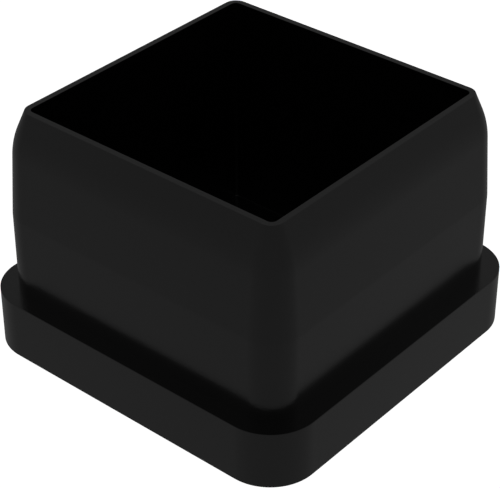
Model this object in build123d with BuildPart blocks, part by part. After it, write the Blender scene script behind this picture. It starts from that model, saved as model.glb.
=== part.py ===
from build123d import *
import os
from math import radians, tan

# Square tube end cap, moulded in one piece. It stands on its head with the hollow plug pointing up:
# origin at the middle of the head's outer face, +Z along the plug, sides square to X and Y, sizes in mm.

# Tube that the cap closes
tube_size = 30.0
tube_wall = 1.5

# Head: a thick plate as wide as the tube, so that its sides carry on flush from the tube's
head_thickness = 4.82

# Plug: from the head up it is a straight grip, a taper and a lead-in, with angles from the vertical
squeeze = 0.06
plug_corner_radius = 2.5
plug_length = 15.42
grip_length = 6.7
lead_in_length = 2.45
taper_angle = 3.9
lead_in_angle = 23.3
shoulder_radius = 7.0

# Pocket: open at the rim, and narrower towards its floor so that the mould's core draws out
rim_wall = 0.5
floor_thickness = 1.8
floor_corner_radius = 0.3
pocket_draft = 0.5
root_radius = 0.2

# How near an edge must lie to a height to count as lying on it
near = 0.001

# The plug's foot is the tube's bore, made larger by the squeeze on every side
plug_half = tube_size / 2 - tube_wall + squeeze

# The head's corners share their centres with the plug's, so its ledge is one width all round
ledge = tube_size / 2 - plug_half
head_corner_radius = plug_corner_radius + ledge

# The taper takes up the length between the grip and the lead-in, and each slope takes its share off a side
taper_length = plug_length - grip_length - lead_in_length
taper_inset = taper_length * tan(radians(taper_angle))
lead_in_inset = lead_in_length * tan(radians(lead_in_angle))

# Heights above the head's outer face
rim_level = head_thickness + plug_length
shoulder_level = rim_level - lead_in_length

# The pocket's mouth is what the rim leaves, and its corners open out from the floor with the draft
pocket_depth = rim_level - floor_thickness
mouth_half = plug_half - taper_inset - lead_in_inset - rim_wall
mouth_corner_radius = floor_corner_radius + pocket_depth * tan(radians(pocket_draft))


def top_of(part):
    """The highest flat face, from which the next length of the plug grows."""
    return part.faces().sort_by(Axis.Z)[-1]


def ring_at(part, level):
    """The closed ring of edges that lies flat at one height."""
    return part.edges().filter_by_position(Axis.Z, level - near, level + near)


with BuildPart() as tube_end_cap:
    # Head
    with BuildSketch():
        RectangleRounded(tube_size, tube_size, head_corner_radius)
    extrude(amount=head_thickness)

    # Grip: the straight foot of the plug, which the tube's bore squeezes
    with BuildSketch(Plane.XY.offset(head_thickness)):
        RectangleRounded(2 * plug_half, 2 * plug_half, plug_corner_radius)
    extrude(amount=grip_length)

    # Taper: slims the plug above the grip, in the corners as much as on the flats
    extrude(top_of(tube_end_cap), amount=taper_length, taper=taper_angle)

    # Lead-in: the steeper slope that finds the tube's mouth
    extrude(top_of(tube_end_cap), amount=lead_in_length, taper=lead_in_angle)

    # Shoulder: the taper turns softly into the lead-in, all the way round
    fillet(ring_at(tube_end_cap, shoulder_level), radius=shoulder_radius)

    # Pocket: from the rim down to the floor that the head keeps
    with BuildSketch(Plane.XY.offset(rim_level)):
        RectangleRounded(2 * mouth_half, 2 * mouth_half, mouth_corner_radius)
    extrude(amount=-pocket_depth, taper=pocket_draft, mode=Mode.SUBTRACT)

    # Root: a small radius where the pocket's walls meet its floor
    fillet(ring_at(tube_end_cap, floor_thickness), radius=root_radius)

tube_end_cap.part.label = "tube_end_cap"

os.makedirs("parts", exist_ok=True)
export_step(tube_end_cap.part, "parts/tube_end_cap.step")
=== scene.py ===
# %% [markdown]
# A square tube end cap in black moulded plastic, standing on its head with the hollow plug upwards.
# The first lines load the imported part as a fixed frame. Nothing below moves or resizes it: the cap's skin
# is worked out anew as one fine surface, and it stands exactly where the frame's solid stands.

from math import cos, radians, sin, tan

import bpy
import numpy as np
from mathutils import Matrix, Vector


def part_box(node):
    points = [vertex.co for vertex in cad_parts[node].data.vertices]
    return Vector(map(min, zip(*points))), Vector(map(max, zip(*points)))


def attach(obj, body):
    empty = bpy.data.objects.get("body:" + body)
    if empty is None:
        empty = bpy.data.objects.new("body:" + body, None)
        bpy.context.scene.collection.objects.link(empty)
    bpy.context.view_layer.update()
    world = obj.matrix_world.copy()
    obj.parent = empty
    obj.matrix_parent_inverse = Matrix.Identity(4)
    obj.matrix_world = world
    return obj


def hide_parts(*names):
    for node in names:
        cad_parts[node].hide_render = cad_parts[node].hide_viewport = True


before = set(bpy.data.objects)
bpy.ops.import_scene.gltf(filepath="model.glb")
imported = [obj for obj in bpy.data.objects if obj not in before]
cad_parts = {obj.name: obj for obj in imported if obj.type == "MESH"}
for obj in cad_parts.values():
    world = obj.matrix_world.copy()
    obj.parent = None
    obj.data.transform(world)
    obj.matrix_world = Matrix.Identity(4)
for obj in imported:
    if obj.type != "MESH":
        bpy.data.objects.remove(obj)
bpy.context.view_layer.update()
mm = 0.001
low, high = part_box("tube_end_cap")
print("the cap is %.2f x %.2f x %.2f mm" % tuple(high / mm - low / mm))

# %% [markdown]
# The cap is one profile carried round a rounded square. A profile point needs two numbers: how far it
# stands from the cap's axis on the flat of a side, and its height. The width and height come from the
# frame. The slopes are kept as tangents, since a slope times a length gives what it takes off a side.

# %% The cap's sizes
head_half = high[0]
rim_level = high[2]
head_thickness = 4.82 * mm
plug_half = 13.56 * mm
plug_corner_radius = 2.5 * mm
grip_length = 6.7 * mm
lead_in_length = 2.45 * mm
taper_slope = tan(radians(3.9))
lead_in_slope = tan(radians(23.3))
rim_wall = 0.5 * mm
floor_level = 1.8 * mm
floor_corner_radius = 0.3 * mm
draft_slope = tan(radians(0.5))
edge_radius = 0.03 * mm
rim_edge_radius = 0.02 * mm
root_radius = 0.05 * mm
grip_radius = 1.5 * mm
shoulder_radius = 7.0 * mm

grip_top = head_thickness + grip_length
shoulder_level = rim_level - lead_in_length
shoulder_half = plug_half - (shoulder_level - grip_top) * taper_slope
rim_half = shoulder_half - lead_in_length * lead_in_slope
mouth_half = rim_half - rim_wall
floor_half = mouth_half - (rim_level - floor_level) * draft_slope
print("rim %.2f mm across, pocket floor %.2f mm across" % (2 * rim_half / mm, 2 * floor_half / mm))

# %% [markdown]
# Hardly any moulded corner is truly sharp, and a corner with no radius catches no light. Each corner of the
# profile is replaced by an arc. A bevel modifier would do the same by angle, but here each corner has a
# radius of its own: 7 mm where the taper turns into the lead-in, a few hundredths on the crisp edges.

# %% An arc for a corner
def arc_at(before, corner, after, radius, steps):
    """The arc leaves each leg at radius times tan(half the turn) from the corner. Its points are the centre
    plus an arm of that radius, turned evenly from one leg to the other."""
    first_leg = (corner - before) / np.linalg.norm(corner - before)
    next_leg = (after - corner) / np.linalg.norm(after - corner)
    turn = np.arctan2(first_leg[0] * next_leg[1] - first_leg[1] * next_leg[0], first_leg @ next_leg)
    start = corner - first_leg * radius * np.tan(abs(turn) / 2)
    centre = start + np.sign(turn) * radius * np.array([-first_leg[1], first_leg[0]])
    arm = start - centre
    angle = np.linspace(0, turn, steps + 1)
    x = np.cos(angle) * arm[0] - np.sin(angle) * arm[1]
    y = np.sin(angle) * arm[0] + np.cos(angle) * arm[1]
    return centre + np.stack([x, y], axis=1)


# %% [markdown]
# Smooth shading blends the direction of the surface from point to point. A flat that runs straight into a
# tight arc would bend its light over its whole width, so each straight leg gets one more station close to
# both ends. Only that narrow strip takes up the arc's light, and the flat stays flat.

# %% Stations on a straight leg
keeper = 0.03 * mm
longest_step = 1.2 * mm


def along(start, end):
    """Points at even shares of the leg, the first and last of them one keeper's width in from its ends."""
    length = np.linalg.norm(end - start)
    count = max(2, int(np.ceil((length - 2 * keeper) / longest_step)) + 1)
    share = np.linspace(keeper / length, 1 - keeper / length, count)
    return start + share[:, None] * (end - start)


# %% [markdown]
# The profile runs from the middle of the underside out to the head's side, up and in along the ledge, up
# the plug's outside, over the rim, down the pocket and in to the middle of the pocket's floor. Only the
# plug's foot is sharp, with a radius of nothing: the ledge lies in one half of the mould and the plug in
# the other, and the two halves meet in a crisp line. Each corner has its place, its radius and the number
# of steps in its arc.

# %% The cap's profile
corners = {
    "head bottom": ((head_half, 0.0), edge_radius, 6),
    "head top": ((head_half, head_thickness), edge_radius, 6),
    "foot": ((plug_half, head_thickness), 0.0, 0),
    "grip top": ((plug_half, grip_top), grip_radius, 3),
    "shoulder": ((shoulder_half, shoulder_level), shoulder_radius, 12),
    "rim": ((rim_half, rim_level), rim_edge_radius, 6),
    "mouth": ((mouth_half, rim_level), rim_edge_radius, 6),
    "root": ((floor_half, floor_level), root_radius, 6),
}
places = [place for place, radius, steps in corners.values()]
points = np.array([(0.0, 0.0)] + places + [(0.0, floor_level)])
arcs = [
    arc_at(points[i], points[i + 1], points[i + 2], radius, steps)
    for i, (place, radius, steps) in enumerate(corners.values())
]
stretches = [along(points[0], arcs[0][0])]
for arc, following in zip(arcs, arcs[1:]):
    stretches += [arc, along(arc[-1], following[0])]
stretches += [arcs[-1], along(arcs[-1][-1], points[-1])]
profile = np.concatenate(stretches)

borders = np.cumsum([len(stretch) for stretch in stretches])
arc_start = dict(zip(corners, borders[0::2]))
arc_end = dict(zip(corners, borders[1::2]))
print("the profile has %d stations" % len(profile))

# %% [markdown]
# All outer corners of the real cap share one centre with the plug's corner, as offsets of one outline do,
# and the pocket's corners have a centre of their own. On the underside and the pocket's floor the outline
# shrinks as a whole, centre and all, until it closes on the axis.

# %% Where each station's corner is centred
outer_centre = plug_half - plug_corner_radius
pocket_centre = floor_half - floor_corner_radius
half, level = profile[:, 0], profile[:, 1]
station = np.arange(len(profile))
rim_stations = arc_start["mouth"] - arc_end["rim"]
across_rim = np.clip((station - arc_end["rim"] + 1) / (rim_stations + 1), 0, 1)
centre = outer_centre + across_rim * (pocket_centre - outer_centre)

underside_half = half[arc_start["head bottom"]]
floor_flat_half = half[arc_end["root"] - 1]
centre = np.where(station < arc_start["head bottom"], outer_centre * half / underside_half, centre)
centre = np.where(station >= arc_end["root"], pocket_centre * half / floor_flat_half, centre)
corner_radii = (half - centre) / mm
for name in ("head top", "foot", "rim", "mouth"):
    print("corner radius at the %s: %.2f mm" % (name, corner_radii[arc_start[name]]))

# %% [markdown]
# A station's outline is a quarter made four times: one side, then the quarter circle that ends it. The two
# side points next to each corner sit close to it, for the same reason as the keepers on the profile.

# %% A rounded square at every station
side_share = np.concatenate([[-0.99], np.linspace(-0.92, 0.92, 15), [0.99]])
corner_angle = np.linspace(0, np.pi / 2, 25)


def rounded_squares(half, centre):
    """A side lies at the half width and runs between the corner centres. The corner's points are the
    centre plus the remaining radius times cosine and sine. A quarter turn maps (x, y) to (-y, x)."""
    radius = (half - centre)[:, None]
    side_x = half[:, None] + 0 * side_share
    side_y = centre[:, None] * side_share
    turn_x = centre[:, None] + radius * np.cos(corner_angle)
    turn_y = centre[:, None] + radius * np.sin(corner_angle)
    quarter = np.stack([np.hstack([side_x, turn_x]), np.hstack([side_y, turn_y])], axis=2)
    turned = [quarter]
    for _ in range(3):
        last = turned[-1]
        turned.append(np.stack([-last[:, :, 1], last[:, :, 0]], axis=2))
    return np.concatenate(turned, axis=1)


rings = rounded_squares(half, centre)
print("%d points round each of %d rings" % (rings.shape[1], rings.shape[0]))

# %% [markdown]
# The rings are stacked at their heights and joined by quads. The first and last rings have shrunk to a
# fraction of a millimetre, and a fan to a point on the axis closes each of them, so the skin is watertight
# and every face points outwards. The ring at the plug's foot is marked sharp: shaded smooth, it would
# catch the light as a rounded edge does, and draw a bright line where the ledge meets the plug.

# %% Skin the rings
ring_count, round_count = rings.shape[:2]
heights = np.broadcast_to(level[:, None, None], (ring_count, round_count, 1))
skin_points = np.concatenate([rings, heights], axis=2).reshape(-1, 3)
under_pole = len(skin_points)
floor_pole = under_pole + 1
skin_points = np.concatenate([skin_points, [[0, 0, 0], [0, 0, floor_level]]])

here = np.arange(round_count)
beside = (here + 1) % round_count
ring_base = np.arange(ring_count - 1)[:, None] * round_count
above = ring_base + round_count
quads = np.stack([ring_base + here, ring_base + beside, above + beside, above + here], axis=2)
last_base = (ring_count - 1) * round_count
under_fan = np.stack([0 * here + under_pole, beside, here], axis=1)
floor_fan = np.stack([0 * here + floor_pole, last_base + here, last_base + beside], axis=1)

skin = bpy.data.meshes.new("cap_skin")
faces = quads.reshape(-1, 4).tolist() + under_fan.tolist() + floor_fan.tolist()
skin.from_pydata(skin_points.tolist(), [], faces)
skin.shade_smooth()
edge_ends = np.empty(2 * len(skin.edges), dtype=int)
skin.edges.foreach_get("vertices", edge_ends)
on_foot = (edge_ends.reshape(-1, 2) // round_count == arc_start["foot"]).all(axis=1)
skin.attributes.new("sharp_edge", "BOOLEAN", "EDGE").data.foreach_set("value", on_foot)
cap = bpy.data.objects.new("cap_skin", skin)
bpy.context.scene.collection.objects.link(cap)
print("%d points, %d faces, %d sharp edges" % (len(skin.vertices), len(skin.polygons), on_foot.sum()))

# %% [markdown]
# The plastic is taken to be polyethylene with carbon black. One layer of gloss could match the bright walls
# or the dark line that they mirror in the ledge, but not both, so light comes back twice: from a skin of
# nearly pure resin, and from the black under it. That is a coat over a base. The resin's index is the usual
# one, and the base's index was fitted to the tones of the walls, the rim and the ledge.

# %% The plastic's shader
plastic = bpy.data.materials.new("black_moulded_plastic")
plastic.use_nodes = True
nodes, links = plastic.node_tree.nodes, plastic.node_tree.links
shader = nodes["Principled BSDF"]
carbon_ior = 1.8
resin_ior = 1.5
shader.inputs["IOR"].default_value = carbon_ior
shader.inputs["Coat IOR"].default_value = resin_ior
shader.inputs["Coat Weight"].default_value = 1.0
place = nodes.new("ShaderNodeTexCoord")


def noise_at(size, detail):
    """Cloudy noise whose lumps are about one size across: its scale is one over that size in metres."""
    node = nodes.new("ShaderNodeTexNoise")
    node.inputs["Scale"].default_value = 1 / size
    node.inputs["Detail"].default_value = detail
    links.new(place.outputs["Object"], node.inputs["Vector"])
    return node


# %% [markdown]
# Carbon black never mixes quite evenly, so the base colour drifts a little over some millimetres. Hardly any
# light comes from the colour, so the drift stays almost out of sight.

# %% Colour that drifts
black_low, black_high = 0.002, 0.004
drift_size = 5 * mm
pigment = noise_at(drift_size, 3.0)
tone = nodes.new("ShaderNodeMix")
tone.data_type = "RGBA"
tone.inputs["A"].default_value = (black_low, black_low, black_low, 1)
tone.inputs["B"].default_value = (black_high, black_high, black_high, 1)
links.new(pigment.outputs["Fac"], tone.inputs["Factor"])
links.new(tone.outputs["Result"], shader.inputs["Base Color"])

# %% [markdown]
# The satin varies too: where the melt cooled first against the mould it came out a touch glossier.

# %% Satin that varies
rough_low, rough_high = 0.18, 0.22
satin_size = 2.5 * mm
satin = noise_at(satin_size, 2.0)
rough = nodes.new("ShaderNodeMapRange")
rough.inputs["To Min"].default_value = rough_low
rough.inputs["To Max"].default_value = rough_high
links.new(satin.outputs["Fac"], rough.inputs["Value"])
for layer in ("Roughness", "Coat Roughness"):
    links.new(rough.outputs["Result"], shader.inputs[layer])

# %% [markdown]
# The skin carries the grain of the mould's steel, about a fifth of a millimetre across and ten microns
# deep at most. It is faint even close up, and from a step away the walls look smooth.

# %% The mould's grain
grain_size, grain_depth, grain_strength = 0.2 * mm, 0.01 * mm, 1.0
grain = noise_at(grain_size, 2.0)
bump = nodes.new("ShaderNodeBump")
bump.inputs["Strength"].default_value = grain_strength
bump.inputs["Distance"].default_value = grain_depth
links.new(grain.outputs["Fac"], bump.inputs["Height"])
for layer in ("Normal", "Coat Normal"):
    links.new(bump.outputs["Normal"], shader.inputs[layer])

# %% [markdown]
# The skin takes the place of the imported solid: it rides on the part's only body, hides the solid that it
# stands for, and wears the black plastic made above.

# %% Put the skin on the frame
skin.materials.append(plastic)
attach(cap, "root")
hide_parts("tube_end_cap")

# %% [markdown]
# The tones fit a cap in an even white tent, where every face mirrors the same soft light and only the angle
# of view sets its tone. A world of one grey is such a tent, and how light a grey was fitted to the picture.

# %% The light tent
tent_grey = 0.087
tent = bpy.data.worlds.new("light_tent")
tent.use_nodes = True
tent.node_tree.nodes["Background"].inputs["Color"].default_value = (tent_grey, tent_grey, tent_grey, 1)
bpy.context.scene.world = tent
bpy.context.scene.view_settings.view_transform = "Standard"

# %% [markdown]
# The floor and the backdrop are plain white paper, lit from behind until they come out clean white from
# every side. The cap mirrors only the tent's grey and not the paper, and the paper shades nothing.

# %% The floor and the backdrop
floor_reach = 2.0
paper_white, paper_glow = 0.8, 1.03
floor_corners = [(x * floor_reach, y * floor_reach, 0.0) for x, y in ((-1, -1), (1, -1), (1, 1), (-1, 1))]
floor_mesh = bpy.data.meshes.new("floor")
floor_mesh.from_pydata(floor_corners, [], [(0, 1, 2, 3)])
floor = bpy.data.objects.new("floor", floor_mesh)
bpy.context.scene.collection.objects.link(floor)
paper = bpy.data.materials.new("pale_paper")
paper.use_nodes = True
paper_shader = paper.node_tree.nodes["Principled BSDF"]
paper_shader.inputs["Base Color"].default_value = (paper_white, paper_white, paper_white, 1)
paper_shader.inputs["Emission Color"].default_value = (1, 1, 1, 1)
paper_shader.inputs["Emission Strength"].default_value = paper_glow
bpy.ops.mesh.primitive_uv_sphere_add(radius=floor_reach, segments=48, ring_count=24)
backdrop = bpy.context.object
backdrop.name = "backdrop"
for stage_piece in (floor, backdrop):
    stage_piece.data.materials.append(paper)
    stage_piece.visible_glossy = False
    stage_piece.visible_diffuse = False
    stage_piece.visible_shadow = False
print("white paper for %.0f m around" % floor_reach)

# %% [markdown]
# The camera was worked out from the cap's straight edges in the picture, in widths of the head: where it
# looks, from how far, how high and from which side. The picture's middle lies a little below the point
# where the lens looks straight, and the camera's shift takes up that difference.

# %% The camera
picture_width, picture_height = 500, 488
focal_length = 1761.2
straight_ahead = (250.68, 219.76)
head_width = 2 * head_half
azimuth, elevation = radians(40.278), radians(33.381)
distance = 4.5219 * head_width
aim = Vector((-0.0100, 0.0070, 0.3183)) * head_width
back = Vector((sin(azimuth) * cos(elevation), -cos(azimuth) * cos(elevation), sin(elevation)))

camera = bpy.data.objects.new("camera", bpy.data.cameras.new("camera"))
bpy.context.scene.collection.objects.link(camera)
camera.location = aim + back * distance
camera.rotation_mode = "QUATERNION"
camera.rotation_quaternion = (-back).to_track_quat("-Z", "Y")
camera.data.sensor_width = 36.0
camera.data.lens = focal_length / picture_width * camera.data.sensor_width
camera.data.shift_x = (picture_width / 2 - straight_ahead[0]) / picture_width
camera.data.shift_y = (straight_ahead[1] - picture_height / 2) / picture_width
camera.data.clip_start = 5 * mm
bpy.context.scene.camera = camera
print("camera %.0f mm away, lens %.1f mm" % (distance / mm, camera.data.lens))
